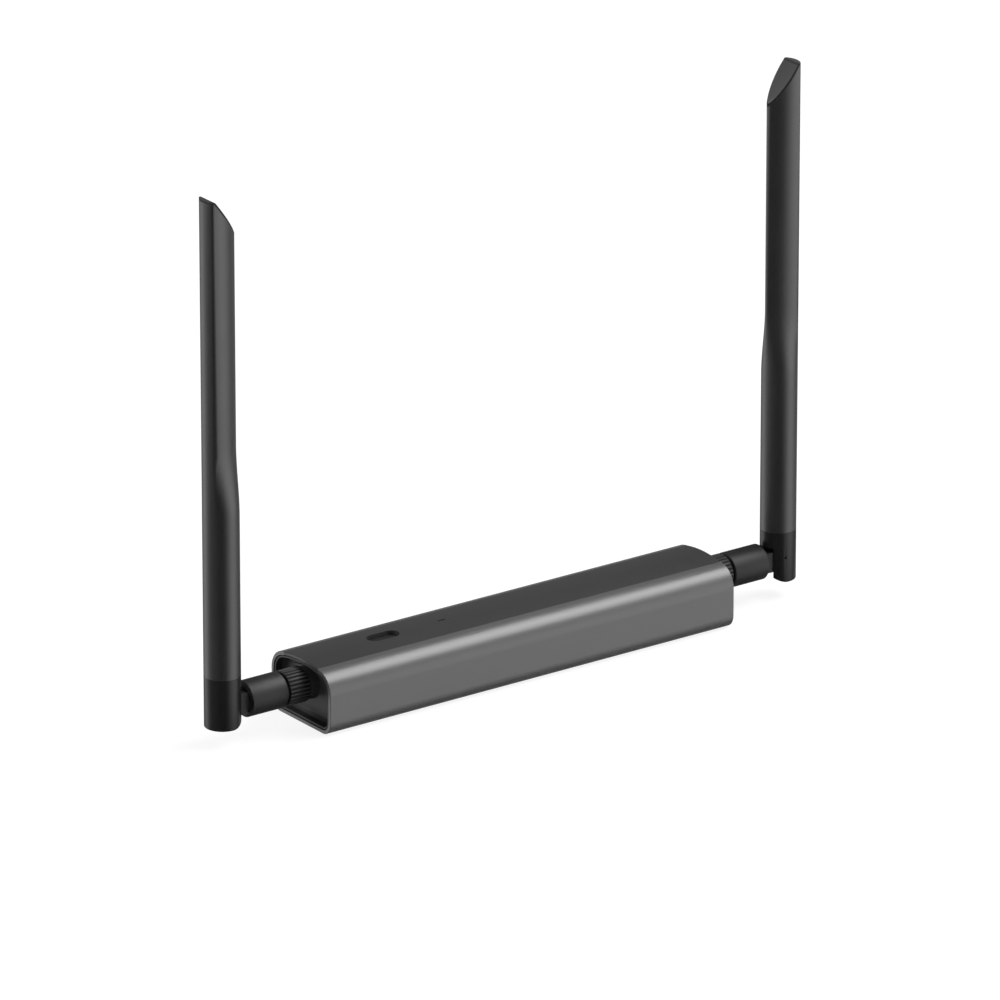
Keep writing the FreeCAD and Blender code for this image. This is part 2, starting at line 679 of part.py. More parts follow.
def make_light():
    lamp = new_body("status_light")
    chip = sketch(lamp, "XY_Plane", board_top)
    half_length = size.lamp_length / 2
    half_depth = size.lamp_width / 2
    rectangle(chip, slit_x - half_length, -half_depth, slit_x + half_length, half_depth)
    pad(lamp, chip, size.lamp_height)
    pipe = new_body("light_pipe")
    foot_bottom = lamp_top + size.axial_gap
    foot_top = size.body_height - size.lid_thick - size.axial_gap
    foot = sketch(pipe, "XY_Plane", foot_bottom)
    half_length = size.pipe_length / 2
    half_depth = size.pipe_width / 2
    rectangle(foot, slit_x - half_length, -half_depth, slit_x + half_length, half_depth)
    pad(pipe, foot, foot_top - foot_bottom)
    blade = sketch(pipe, "XY_Plane", foot_bottom)
    reach = (size.slit_length - size.slit_width) / 2
    pill(blade, slit_x - reach, slit_x + reach, ZERO, size.slit_width / 2 - size.pipe_gap)
    pad(pipe, blade, size.body_height - size.pipe_gap - foot_bottom)


# Circuit board and what stands on it
def make_board():
    body = new_body("main_board")
    slab = sketch(body, "XY_Plane", board_bottom)
    rectangle(slab, -board_half_length, -board_half_width, board_half_length, board_half_width)
    pad(body, slab, size.board_thick)
    cuts = sketch(body, "XY_Plane", board_top)
    gap = size.port_gap
    half = size.ethernet_width / 2 + gap
    front = half_width - size.port_sink - size.ethernet_depth - gap
    rectangle(cuts, ethernet_x - half, front, ethernet_x + half, half_width)
    pocket(body, cuts, size.board_thick)


def make_can(body, bottom, x, length, width, height):
    outline = sketch(body, "XY_Plane", bottom)
    rectangle(outline, x - length / 2, -width / 2, x + length / 2, width / 2)
    pad(body, outline, height)


def make_cans():
    cpu = new_body("processor_shield")
    make_can(cpu, board_top, cpu_x, size.cpu_length, size.cpu_width, size.can_height)
    hollow = sketch(cpu, "XY_Plane", board_top)
    half = size.cpu_length / 2 - size.can_sheet
    depth = size.cpu_width / 2 - size.can_sheet
    rectangle(hollow, cpu_x - half, -depth, cpu_x + half, depth)
    pocket(cpu, hollow, size.can_height - size.can_sheet, reverse=True)
    for name, side in (("radio_module_left", -1), ("radio_module_right", 1)):
        radio = new_body(name)
        x = rim_x - size.radio_inset
        slab = sketch(radio, "XY_Plane", board_top)
        half = size.radio_length / 2
        depth = size.radio_width / 2
        rectangle(slab, x - half, -depth, x + half, depth)
        pad(radio, slab, size.radio_board)
        margin = size.radio_margin * 2
        make_can(radio, board_top + size.radio_board, x, size.radio_length - margin,
                 size.radio_width - margin, size.can_height)
        place(radio, side)


def make_ethernet():
    body = new_body("ethernet_jack")
    face_y = half_width - size.port_sink
    half = size.ethernet_width / 2
    left, right = ethernet_x - half, ethernet_x + half
    bottom = size.ethernet_bottom
    case = sketch(body, "XZ_Plane", -face_y)
    rectangle(case, left, bottom, right, bottom + size.ethernet_height)
    pad(body, case, size.ethernet_depth)
    mouth = sketch(body, "XZ_Plane", -face_y)
    low = bottom + size.plug_bottom
    half_plug = size.plug_width / 2
    half_latch = size.latch_width / 2
    middle = ethernet_x
    polygon(mouth, [
        (middle - half_plug, low),
        (middle - half_latch, low),
        (middle - half_latch, low - size.latch_height),
        (middle + half_latch, low - size.latch_height),
        (middle + half_latch, low),
        (middle + half_plug, low),
        (middle + half_plug, low + size.plug_height),
        (middle - half_plug, low + size.plug_height),
    ])
    pocket(body, mouth, size.plug_depth, reverse=True)
    ceiling = low + size.plug_height
    row_length = size.contact_pitch * (size.contact_count - 1) + size.contact_width
    first_x = middle - row_length / 2
    springs = []
    for n in range(int(size.contact_count.value)):
        spring = doc.addObject("Part::Box", "contact_spring")
        set_sizes(spring, Length=size.contact_width, Width=size.contact_length,
                  Height=size.contact_width / 2)
        x = first_x + size.contact_pitch * n
        y = face_y - size.plug_depth + size.contact_width
        rise = size.contact_length * sine(size.contact_tilt)
        z = ceiling - rise - size.contact_width / 2 * cosine(size.contact_tilt)
        spring.Placement = FreeCAD.Placement(
            FreeCAD.Vector(x.value, y.value, z.value),
            FreeCAD.Rotation(FreeCAD.Vector(1, 0, 0), size.contact_tilt.value),
        )
        for name, value in (("x", x), ("y", y), ("z", z)):
            spring.setExpression(f"Placement.Base.{name}", value.text)
        spring.setExpression("Placement.Rotation.Angle", size.contact_tilt.text)
        springs.append(spring)
    group = doc.addObject("Part::Compound", "ethernet_contacts")
    group.Links = springs
    group.Label = "ethernet_contacts"


def make_usb():
    body = new_body("usb_shell")
    face_y = half_width - size.port_sink
    radius = size.usb_height / 2
    reach = size.usb_width / 2 - radius
    middle_z = board_top + radius
    left, right = usb_x - reach, usb_x + reach
    shell = sketch(body, "XZ_Plane", -face_y)
    pill(shell, left, right, middle_z, radius)
    pad(body, shell, size.usb_depth)
    mouth = sketch(body, "XZ_Plane", -face_y)
    pill(mouth, left, right, middle_z, radius - size.usb_wall)
    pocket(body, mouth, size.usb_depth - size.usb_back, reverse=True)
    tongue = new_body("usb_tongue")
    back_y = face_y - size.usb_depth + size.usb_back
    plate = sketch(tongue, "XZ_Plane", -back_y)
    half = size.usb_tongue_width / 2
    thick = size.usb_tongue_height / 2
    rectangle(plate, usb_x - half, middle_z - thick, usb_x + half, middle_z + thick)
    length = size.usb_depth - size.usb_back - size.usb_tongue_sink
    pad(tongue, plate, length, reverse=True)


# Antennas, in a frame on the sockets' axis, drawn for the right end
def make_jack(name, side):
    body = new_body(name)
    outer = size.jack_radius
    hole = size.contact_radius + size.contact_gap
    hole_end = nut_end - size.nut_wall - size.flange_room - size.contact_reach - size.contact_gap
    barrel = sketch(body, "XZ_Plane")
    polygon(barrel, [
        (jack_start, ZERO),
        (hole_end, ZERO),
        (hole_end, hole),
        (jack_end, hole),
        (jack_end, outer),
        (jack_start, outer),
    ])
    revolve(body, barrel)
    half = size.jack_block / 2
    block = sketch(body, "YZ_Plane", jack_start)
    rectangle(block, -half, -half, half, half)
    pad(body, block, size.jack_block_length, reverse=True)
    place(body, side, axis_height)


def make_nut(name, side):
    body = new_body(name)
    outer = size.nut_radius
    thread = size.jack_radius + size.thread_gap
    room = size.core_flange + size.flange_play
    wall_x = nut_end - size.nut_wall
    room_x = wall_x - size.flange_room
    neck = size.core_neck + size.neck_gap
    section = sketch(body, "XZ_Plane")
    polygon(section, [
        (nut_start, thread),
        (room_x, thread),
        (room_x, room),
        (wall_x, room),
        (wall_x, neck),
        (nut_end, neck),
        (nut_end, outer),
        (nut_start, outer),
    ])
    revolve(body, section)
    groove = sketch(body, "YZ_Plane", nut_start)
    top = outer + size.knurl_depth
    bottom = outer - size.knurl_depth
    wide = size.knurl_width * 3 / 4
    narrow = size.knurl_width / 4
    polygon(groove, [(-narrow, bottom), (narrow, bottom), (wide, top), (-wide, top)])
    cut = pocket(body, groove, size.nut_length, reverse=True)
    ring = body.newObject("PartDesign::PolarPattern", f"{name}_knurl")
    ring.Originals = [cut]
    axis = [feature for feature in body.Origin.OriginFeatures if feature.Role == "X_Axis"][0]
    ring.Axis = (axis, [""])
    ring.Angle = 360
    ring.Occurrences = int(size.knurl_count.value)
    ring.setExpression("Occurrences", size.knurl_count.text)
    body.Tip = ring
    doc.recompute()
    place(body, side, axis_height)


def make_core(name, side):
    body = new_body(name)
    wall_x = nut_end - size.nut_wall
    flange_x = wall_x - size.flange_room + size.axial_gap
    back_x = wall_x - size.axial_gap
    ring_x = nut_end + size.axial_gap
    shank_end = elbow_start + size.core_shank_length
    contact_x = flange_x - size.contact_reach
    section = sketch(body, "XZ_Plane")
    polygon(section, [
        (contact_x, ZERO),
        (shank_end, ZERO),
        (shank_end, size.core_shank),
        (elbow_start, size.core_shank),
        (elbow_start, size.core_shoulder),
        (ring_x, size.core_shoulder),
        (ring_x, size.core_neck),
        (back_x, size.core_neck),
        (back_x, size.core_flange),
        (flange_x, size.core_flange),
        (flange_x, size.contact_radius),
        (contact_x, size.contact_radius),
    ])
    revolve(body, section)
    place(body, side, axis_height)


def make_elbow(name, side):
    body = new_body(name)
    outer = size.elbow_radius
    corner = size.elbow_chamfer
    shank_end = elbow_start + size.core_shank_length
    section = sketch(body, "XZ_Plane")
    polygon(section, [
        (shank_end, ZERO),
        (elbow_end, ZERO),
        (elbow_end, outer),
        (elbow_start + corner, outer),
        (elbow_start, outer - corner),
        (elbow_start, size.core_shank),
        (shank_end, size.core_shank),
    ])
    revolve(body, section)
    end_x = elbow_end.value
    chamfer_edges(body, size.elbow_bevel, lambda edge: lies_at(edge, x=end_x))
    dish = sketch(body, "XZ_Plane")
    circle(dish, pin_x, ZERO, size.hinge_dish)
    pocket(body, dish, outer * 2, symmetric=True)
    tongue = sketch(body, "XZ_Plane")
    root_x = shank_end + size.tongue_radius + size.axial_gap
    pill(tongue, root_x, pin_x, ZERO, size.tongue_radius)
    pad(body, tongue, size.tongue_width, symmetric=True)
    bore = sketch(body, "XZ_Plane")
    circle(bore, pin_x, ZERO, size.pin_radius)
    pocket(body, bore, size.tongue_width, symmetric=True)
    place(body, side, axis_height)


def make_pin(name, side):
    body = new_body(name)
    section = sketch(body, "XZ_Plane")
    circle(section, pin_x, ZERO, size.pin_radius)
    pad(body, section, size.pin_half * 2, symmetric=True)
    place(body, side, axis_height)


def make_base(name, side):
    body = new_body(name)
    post = sketch(body, "XY_Plane", -size.base_drop)
    circle(post, pin_x, ZERO, size.base_radius)
    pad(body, post, size.base_height)
    bottom_z = -size.base_drop.value
    chamfer_edges(body, size.base_bevel, lambda edge: lies_at(edge, z=bottom_z))
    spigot = sketch(body, "XY_Plane", base_top)
    circle(spigot, pin_x, ZERO, size.spigot_radius)
    pad(body, spigot, size.spigot_height)
    slot = sketch(body, "XZ_Plane")
    rectangle(
        slot,
        pin_x - size.base_radius * 2,
        -size.base_drop * 2,
        pin_x + size.slot_outer,
        size.slot_top,
    )
    pocket(body, slot, size.tongue_width + size.slot_gap * 2, symmetric=True)
    holes = sketch(body, "XZ_Plane")
    circle(holes, pin_x, ZERO, size.pin_radius + size.pin_gap)
    pocket(body, holes, (size.pin_half + size.pin_end_gap) * 2, symmetric=True)
    feed = sketch(body, "XY_Plane", base_top + size.spigot_height)
    circle(feed, pin_x, ZERO, size.feed_radius)
    pocket(body, feed, base_top + size.spigot_height)
    dimple = sketch(body, "XZ_Plane", size.base_radius)
    circle(dimple, pin_x - size.dimple_radius * 3, size.dimple_radius * 4, size.dimple_radius)
    pocket(body, dimple, size.dimple_radius * 2)
    place(body, side, axis_height)


def make_whip(name, side):
    body = new_body(name)
    foot = sketch(body, "XY_Plane", base_top)
    circle(foot, pin_x, ZERO, size.base_radius)
    pad(body, foot, size.whip_round_part)
    blend_z = base_top + size.whip_round_part
    sections = []
    for share in (0.0, 0.25, 0.5, 0.75, 1.0):
        blend = share * share * (3 - 2 * share)
        outline = sketch(body, "XY_Plane", blend_z + size.whip_blend * share)
        whip_outline(outline, blend)
        sections.append(outline)
    blend_end = blend_z + size.whip_blend
    loft(body, sections)
    upper = sketch(body, "XY_Plane", blend_end)
    whip_outline(upper, 1.0)
    pad(body, upper, size.whip_top - blend_end)
    cut = sketch(body, "XZ_Plane")
    reach = size.base_radius * 1.5
    cut_height = size.whip_top - size.cut_drop
    chord = size.cut_drop / size.cut_slope
    polygon(cut, [
        (pin_x - reach, cut_height - reach * size.cut_slope),
        (pin_x + chord, size.whip_top),
        (pin_x + chord, size.whip_top + reach),
        (pin_x - reach, size.whip_top + reach),
    ])
    pocket(body, cut, reach * 2, symmetric=True)
    slope = size.cut_slope.value

    def on_cut(edge):
        ends = [vertex.Point for vertex in edge.Vertexes]
        middle = edge.valueAt((edge.FirstParameter + edge.LastParameter) / 2)
        return all(near(cut_height.value + (spot.x - pin_x.value) * slope, spot.z)
                   for spot in ends + [middle])

    chamfer_edges(body, size.cut_chamfer, on_cut)
    bore = sketch(body, "XY_Plane", base_top)
    circle(bore, pin_x, ZERO, size.spigot_radius + size.spigot_gap)
    pocket(body, bore, size.spigot_height + size.spigot_gap, reverse=True)
    feed = sketch(body, "XY_Plane", base_top)
    circle(feed, pin_x, ZERO, size.whip_bore)
    pocket(body, feed, size.whip_bore_height - base_top, reverse=True)
    place(body, side, axis_height)


def loft(body, sections):
    feature = body.newObject("PartDesign::AdditiveLoft", f"{body.Name}_loft")
    feature.Profile = sections[0]
    feature.Sections = sections[1:]
    doc.recompute()
    return feature


def make_radiator(name, side):
    body = new_body(name)
    levels = [
        (size.slot_top + size.pin_radius, size.feed_end, size.feed_wire),
        (size.feed_end, size.sleeve_end, size.sleeve_radius),
        (size.sleeve_end, size.rod_end, size.rod_radius),
    ]
    for bottom, top, radius in levels:
        ring = sketch(body, "XY_Plane", bottom)
        circle(ring, pin_x, ZERO, radius)
        pad(body, ring, top - bottom)
    place(body, side, axis_height)


def export_all():
    doc.recompute()
    for thing in doc.Objects:
        if "Invalid" in thing.State or "Error" in thing.State:
            raise RuntimeError(f"{thing.Name} did not compute: {thing.State}")
    os.makedirs("parts", exist_ok=True)
    pieces = [
        thing for thing in doc.Objects
        if thing.TypeId in ("PartDesign::Body", "Part::Compound")
    ]
    for thing in pieces:
        if thing.Shape.isNull() or not thing.Shape.isValid():
            raise RuntimeError(f"{thing.Label} has no valid shape")
    for thing in pieces:
        thing.Shape.exportStep(f"parts/{thing.Label}.step")
        print(thing.Label, round(thing.Shape.Volume, 2))


make_shell()
make_lid()
make_button()
make_switch()
make_light()
make_board()
make_cans()
make_ethernet()
make_usb()
for end, way in (("left", -1), ("right", 1)):
    make_end_cap(f"end_cap_{end}", way)
    make_jack(f"antenna_jack_{end}", way)
    make_nut(f"coupling_nut_{end}", way)
    make_core(f"antenna_core_{end}", way)
    make_elbow(f"elbow_{end}", way)
    make_pin(f"hinge_pin_{end}", way)
    make_base(f"whip_base_{end}", way)
    make_whip(f"whip_{end}", way)
    make_radiator(f"radiator_{end}", way)
export_all()
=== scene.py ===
"""Finishes, small details and a studio for the two-antenna smart home gateway.

All places are in metres in the model's own frame: X along the housing, Y towards the wall
with the ports, Z up, with the origin on the floor under the housing's middle.
"""

import math

import bmesh
import bpy
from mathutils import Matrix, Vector


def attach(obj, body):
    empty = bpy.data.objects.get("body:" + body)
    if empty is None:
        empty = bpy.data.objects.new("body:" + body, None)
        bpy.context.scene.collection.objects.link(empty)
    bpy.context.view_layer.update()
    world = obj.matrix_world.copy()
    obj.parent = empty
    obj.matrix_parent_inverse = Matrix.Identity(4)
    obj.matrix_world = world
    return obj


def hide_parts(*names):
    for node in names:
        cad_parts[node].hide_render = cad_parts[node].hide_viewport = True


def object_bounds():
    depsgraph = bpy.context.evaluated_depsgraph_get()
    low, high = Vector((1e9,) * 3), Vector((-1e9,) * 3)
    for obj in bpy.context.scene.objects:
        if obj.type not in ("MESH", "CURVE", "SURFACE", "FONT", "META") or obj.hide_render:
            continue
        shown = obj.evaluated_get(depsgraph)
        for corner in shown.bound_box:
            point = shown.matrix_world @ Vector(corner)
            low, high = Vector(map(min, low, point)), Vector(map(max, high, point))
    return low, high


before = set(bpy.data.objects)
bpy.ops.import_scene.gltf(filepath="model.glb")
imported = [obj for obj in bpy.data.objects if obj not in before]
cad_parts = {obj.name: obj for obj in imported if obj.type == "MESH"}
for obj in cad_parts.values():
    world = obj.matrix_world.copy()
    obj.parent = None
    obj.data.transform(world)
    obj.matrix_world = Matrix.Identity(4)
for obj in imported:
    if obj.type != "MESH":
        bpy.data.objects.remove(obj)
CAD_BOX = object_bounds()

bl_info = {
    "name": "Gateway Studio",
    "version": (1, 0, 0),
    "blender": (4, 5, 0),
    "location": "View3D > Sidebar > Gateway",
    "description": "Finishes a two-antenna smart home gateway and sets up its studio",
    "category": "Object",
}

MM = 0.001

# Which way along X the housing lies from each end's antenna
INWARDS = {"left": 1, "right": -1}

WHITE = (1, 1, 1, 1)
BLACK = (0, 0, 0, 1)


# Shader values that work like numbers

class Field:
    """A value that varies over a surface, with the usual arithmetic."""

    def __init__(self, paint, socket):
        self.paint = paint
        self.socket = socket

    def _maths(self, operation, first, second):
        return self.paint.node("Math", {"operation": operation}, {0: first, 1: second})

    def __add__(self, other):
        return self._maths("ADD", self, other)

    def __radd__(self, other):
        return self._maths("ADD", other, self)

    def __sub__(self, other):
        return self._maths("SUBTRACT", self, other)

    def __rsub__(self, other):
        return self._maths("SUBTRACT", other, self)

    def __mul__(self, other):
        return self._maths("MULTIPLY", self, other)

    def __rmul__(self, other):
        return self._maths("MULTIPLY", other, self)


class Paint:
    """A node tree, with one method that adds any node to it."""

    def __init__(self, tree):
        self.tree = tree
        self.tree.nodes.clear()

    def node(self, kind, settings=None, inputs=None, output=0):
        """Adds a node: its settings first, then numbers or fields on its sockets."""
        added = self.tree.nodes.new("ShaderNode" + kind)
        for name, value in (settings or {}).items():
            if name == "stops":
                ramp = added.color_ramp.elements
                ramp.remove(ramp[1])
                for number, (position, level) in enumerate(value):
                    stop = ramp.new(position) if number else ramp[0]
                    stop.position = position
                    stop.color = (level, level, level, 1.0)
            else:
                setattr(added, name, value)
        for name, value in (inputs or {}).items():
            if isinstance(value, Field):
                self.tree.links.new(value.socket, added.inputs[name])
            else:
                added.inputs[name].default_value = value
        return Field(self, added.outputs[output]) if added.outputs else None


def new_paint(name):
    """A new material and the paint that fills its nodes."""
    material = bpy.data.materials.new(name)
    material.use_nodes = True
    return material, Paint(material.node_tree)


def noise(paint, size, detail=2.0, stretch=(1.0, 1.0, 1.0)):
    """Soft noise about zero, with blotches of that size in metres."""
    place = paint.node("TexCoord", output="Object")
    scaled = paint.node("Mapping", inputs={"Vector": place, "Scale": stretch})
    level = paint.node("TexNoise", inputs={
        "Vector": scaled, "Scale": 1.0 / size, "Detail": detail})
    return level - 0.5


def shade(paint, colour, amount):
    """The colour made lighter or darker by a field about zero."""
    bright = 1.0 + amount
    grey = paint.node("CombineColor", inputs={0: bright, 1: bright, 2: bright})
    # A Mix node's colour sockets share their names with its number sockets
    factor, first, second, result = 0, 6, 7, 2
    return paint.node(
        "Mix", {"data_type": "RGBA", "blend_type": "MULTIPLY"},
        {factor: 1.0, first: (*colour, 1.0), second: grey}, result)


def band(paint, value, start, end):
    """Rises smoothly from 0 at the start to 1 at the end."""
    return paint.node("MapRange", {"interpolation_type": "SMOOTHSTEP"}, {
        "Value": value, "From Min": start, "From Max": end})


def relief(paint, height, depth, strength):
    """A bump of that depth in metres."""
    return paint.node("Bump", inputs={
        "Strength": strength, "Distance": depth, "Height": height})


def surface(paint, sockets):
    """Ends a material in a shader with these sockets."""
    shader = paint.node("BsdfPrincipled", inputs=sockets)
    paint.node("OutputMaterial", inputs={"Surface": shader})


def node_box(node):
    """The middle and the half size of a CAD node's box."""
    corners = [Vector(corner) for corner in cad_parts[node].bound_box]
    low = Vector(min(corner[axis] for corner in corners) for axis in range(3))
    high = Vector(max(corner[axis] for corner in corners) for axis in range(3))
    return (low + high) / 2, (high - low) / 2


# Finishes

def moulded(name, colour, roughness, grain, depth, specular=0.5):
    """Moulded plastic: a fine even grain, faint mottling and slightly uneven gloss."""
    mottle = 0.05
    material, paint = new_paint(name)
    fine = noise(paint, grain, detail=3.0)
    broad = noise(paint, 9 * MM)
    surface(paint, {
        "Base Color": shade(paint, colour, fine * mottle + broad * mottle),
        "Roughness": roughness + fine * 0.1 + broad * 0.06,
        "Specular IOR Level": specular,
        "Normal": relief(paint, fine, depth, strength=0.5),
    })
    return material


def plated(name, colour, roughness):
    """Plated or tinned metal with a faint brushed grain."""
    brushed = (0.15, 1.0, 1.0)
    material, paint = new_paint(name)
    grain = noise(paint, 0.4 * MM, detail=3.0, stretch=brushed)
    broad = noise(paint, 5 * MM)
    surface(paint, {
        "Base Color": shade(paint, colour, grain * 0.12 + broad * 0.08),
        "Metallic": 1.0,
        "Roughness": roughness + grain * 0.15 + broad * 0.08,
        "Normal": relief(paint, grain, 0.01 * MM, strength=0.3),
    })
    return material


def whip_matte(colour):
    """The whips' matte black, duller and darker at the crest and along the oblique cut."""
    material, paint = new_paint("whip_matte")
    middle, half = node_box("whip_right")
    pin = node_box("hinge_pin_right")[0]
    top = middle.z + half.z
    # The cut rises by its slope outwards, and is this far below the top over the pin
    cut_slope = 1.33
    cut_drop = 4.5 * MM
    # How much darker and duller than the rest its crest and its cut are
    darker = 0.9
    duller = 0.6
    place = paint.node("TexCoord", output="Object")
    along = paint.node("SeparateXYZ", inputs={0: place}, output="X")
    height = paint.node("SeparateXYZ", inputs={0: place}, output="Z")
    outwards = paint.node("Math", {"operation": "ABSOLUTE"}, {0: along}) - pin.x
    below = (outwards * cut_slope + (top - cut_drop) - height) * math.cos(math.atan(cut_slope))
    rim = band(paint, below, 0.0, 0.1 * MM) * (1.0 - band(paint, below, 0.4 * MM, 0.8 * MM))
    crest = band(paint, height, top - 0.6 * MM, top - 0.3 * MM)
    # The crest and the rim merge where they meet, and don't add up
    edge = 1.0 - (1.0 - rim) * (1.0 - crest * 0.8)
    fine = noise(paint, 0.28 * MM, detail=3.0)
    broad = noise(paint, 9 * MM)
    surface(paint, {
        "Base Color": shade(paint, colour, fine * 0.2 + broad * 0.2 - edge * darker),
        "Roughness": 0.4 + fine * 0.1 + broad * 0.06 + edge * duller,
        "Specular IOR Level": 0.9,
        "Normal": relief(paint, fine, 0.03 * MM, strength=0.5),
    })
    return material


def knurled_black(colour):
    """The nuts' blackened brass, duller in its grooves than on its ridges, with the grooves
    darkened by painted shade.
    """
    material, paint = new_paint("nut_black")
    middle, half = node_box("coupling_nut_left")
    reach = half.z
    across_axis = (0, 1, 1)
    # How far painted shade darkens a groove below the colour, and how much lighter than that a
    # ridge is
    painted_groove_shade = 0.6
    unshaded_ridge_lift = 0.9
    place = paint.node("TexCoord", output="Object")
    offset = paint.node("VectorMath", {"operation": "SUBTRACT"}, {0: place, 1: middle})
    flat = paint.node("VectorMath", {"operation": "MULTIPLY"}, {0: offset, 1: across_axis})
    radius = paint.node("VectorMath", {"operation": "LENGTH"}, {0: flat}, "Value")
    ridge = band(paint, radius, reach - 0.3 * MM, reach - 0.05 * MM)
    fine = noise(paint, 0.3 * MM, detail=3.0)
    surface(paint, {
        # The darker grooves are painted shade, and the ridges are lifted back out of it
        "Base Color": shade(paint, colour, ridge * unshaded_ridge_lift - painted_groove_shade + fine * 0.2),
        "Metallic": 0.2,
        "Roughness": 0.65 - ridge * 0.15 + fine * 0.1,
        "Specular IOR Level": 0.25,
        "Normal": relief(paint, fine, 0.01 * MM, strength=0.3),
    })
    return material


def satin_shell(look):
    """The housing's satin grey: a blasted grain and the faint lines of its extrusion."""
    extruded = (0.01, 1.0, 1.0)
    material, paint = new_paint("satin_shell")
    blasted = noise(paint, 0.22 * MM, detail=3.0)
    lines = noise(paint, 1.2 * MM, stretch=extruded)
    broad = noise(paint, 30 * MM)
    uneven = blasted * 0.1 + lines * 0.03 + broad * 0.03
    surface(paint, {
        "Base Color": shade(paint, look.shell_colour, uneven),
        "Metallic": look.shell_metal,
        "Roughness": look.shell_roughness + blasted * 0.08 + lines * 0.03,
        "Normal": relief(paint, blasted, 0.012 * MM, strength=0.4),
    })
    return material


def solder_mask():
    """The circuit board: green mask with faint tracks under it."""
    green = (0.012, 0.07, 0.035)
    tracks_per_metre = 260.0
    material, paint = new_paint("solder_mask")
    place = paint.node("TexCoord", output="Object")
    tracks = paint.node("TexBrick", {"offset": 0.37, "squash": 0.6}, {
        "Vector": place,
        "Scale": tracks_per_metre,
        "Mortar Size": 0.03,
        "Color1": BLACK,
        "Color2": BLACK,
        "Mortar": WHITE,
    }, "Fac")
    fine = noise(paint, 0.5 * MM, detail=3.0)
    surface(paint, {
        "Base Color": shade(paint, green, tracks * 0.8 + fine * 0.1),
        "Roughness": 0.35 + fine * 0.1,
    })
    return material


def smoked_plastic():
    """The light pipe's smoked plastic."""
    smoke = (0.004, 0.004, 0.004)
    material, paint = new_paint("smoked_plastic")
    fine = noise(paint, 0.3 * MM)
    surface(paint, {
        "Base Color": shade(paint, smoke, fine * 0.2),
        "Roughness": 0.45 + fine * 0.1,
        "Specular IOR Level": 0.05,
    })
    return material


# What a user may change

class GatewayLook(bpy.types.PropertyGroup):
    """Colours and gloss of the gateway's finishes."""

    shell_colour: bpy.props.FloatVectorProperty(
        name="Shell", description="Colour of the housing", subtype="COLOR", size=3,
        default=(0.095, 0.095, 0.095))
    shell_roughness: bpy.props.FloatProperty(
        name="Shell roughness", description="Roughness of the housing", subtype="FACTOR",
        default=0.36, min=0.0, max=1.0)
    shell_metal: bpy.props.FloatProperty(
        name="Shell metal", description="How metallic the housing looks", subtype="FACTOR",
        default=0.2, min=0.0, max=1.0)
    lid_colour: bpy.props.FloatVectorProperty(
        name="Lid", description="Colour of the lid", subtype="COLOR", size=3,
        default=(0.030, 0.030, 0.030))
    button_colour: bpy.props.FloatVectorProperty(
        name="Button", description="Colour of the button", subtype="COLOR", size=3,
        default=(0.013, 0.013, 0.013))
    cap_colour: bpy.props.FloatVectorProperty(
        name="Caps", description="Colour of the end caps", subtype="COLOR", size=3,
        default=(0.026, 0.026, 0.026))
    nut_colour: bpy.props.FloatVectorProperty(
        name="Nuts", description="Colour of the knurled nuts", subtype="COLOR", size=3,
        default=(0.031, 0.031, 0.031))
    elbow_colour: bpy.props.FloatVectorProperty(
        name="Elbows", description="Colour of the elbows", subtype="COLOR", size=3,
        default=(0.013, 0.013, 0.013))
    base_colour: bpy.props.FloatVectorProperty(
        name="Bases", description="Colour of the whips' bases", subtype="COLOR", size=3,
        default=(0.009, 0.009, 0.009))
    whip_colour: bpy.props.FloatVectorProperty(
        name="Whips", description="Colour of the whips", subtype="COLOR", size=3,
        default=(0.013, 0.013, 0.013))


class GatewayEdges(bpy.types.PropertyGroup):
    """How far the edges of the softened pieces are rounded, where there is room."""

    cap: bpy.props.FloatProperty(
        name="Caps", description="Rounding of the end caps' edges",
        subtype="DISTANCE", unit="LENGTH", default=0.4 * MM, min=0.0)
    button: bpy.props.FloatProperty(
        name="Button", description="Rounding of the button's edges",
        subtype="DISTANCE", unit="LENGTH", default=0.15 * MM, min=0.0)
    elbow: bpy.props.FloatProperty(
        name="Elbows", description="Rounding of the elbows' edges",
        subtype="DISTANCE", unit="LENGTH", default=0.4 * MM, min=0.0)
    foot: bpy.props.FloatProperty(
        name="Feet", description="Rounding of the edges at the bases' feet",
        subtype="DISTANCE", unit="LENGTH", default=0.25 * MM, min=0.0)
    base: bpy.props.FloatProperty(
        name="Bases", description="Rounding of the bases' other edges",
        subtype="DISTANCE", unit="LENGTH", default=0.5 * MM, min=0.0)
    tip: bpy.props.FloatProperty(
        name="Tips", description="Rounding of the edges at the whips' tips",
        subtype="DISTANCE", unit="LENGTH", default=0.35 * MM, min=0.0)
    knurl: bpy.props.FloatProperty(
        name="Knurls", description="Rounding of the nuts' ridges",
        subtype="DISTANCE", unit="LENGTH", default=0.08 * MM, min=0.0)


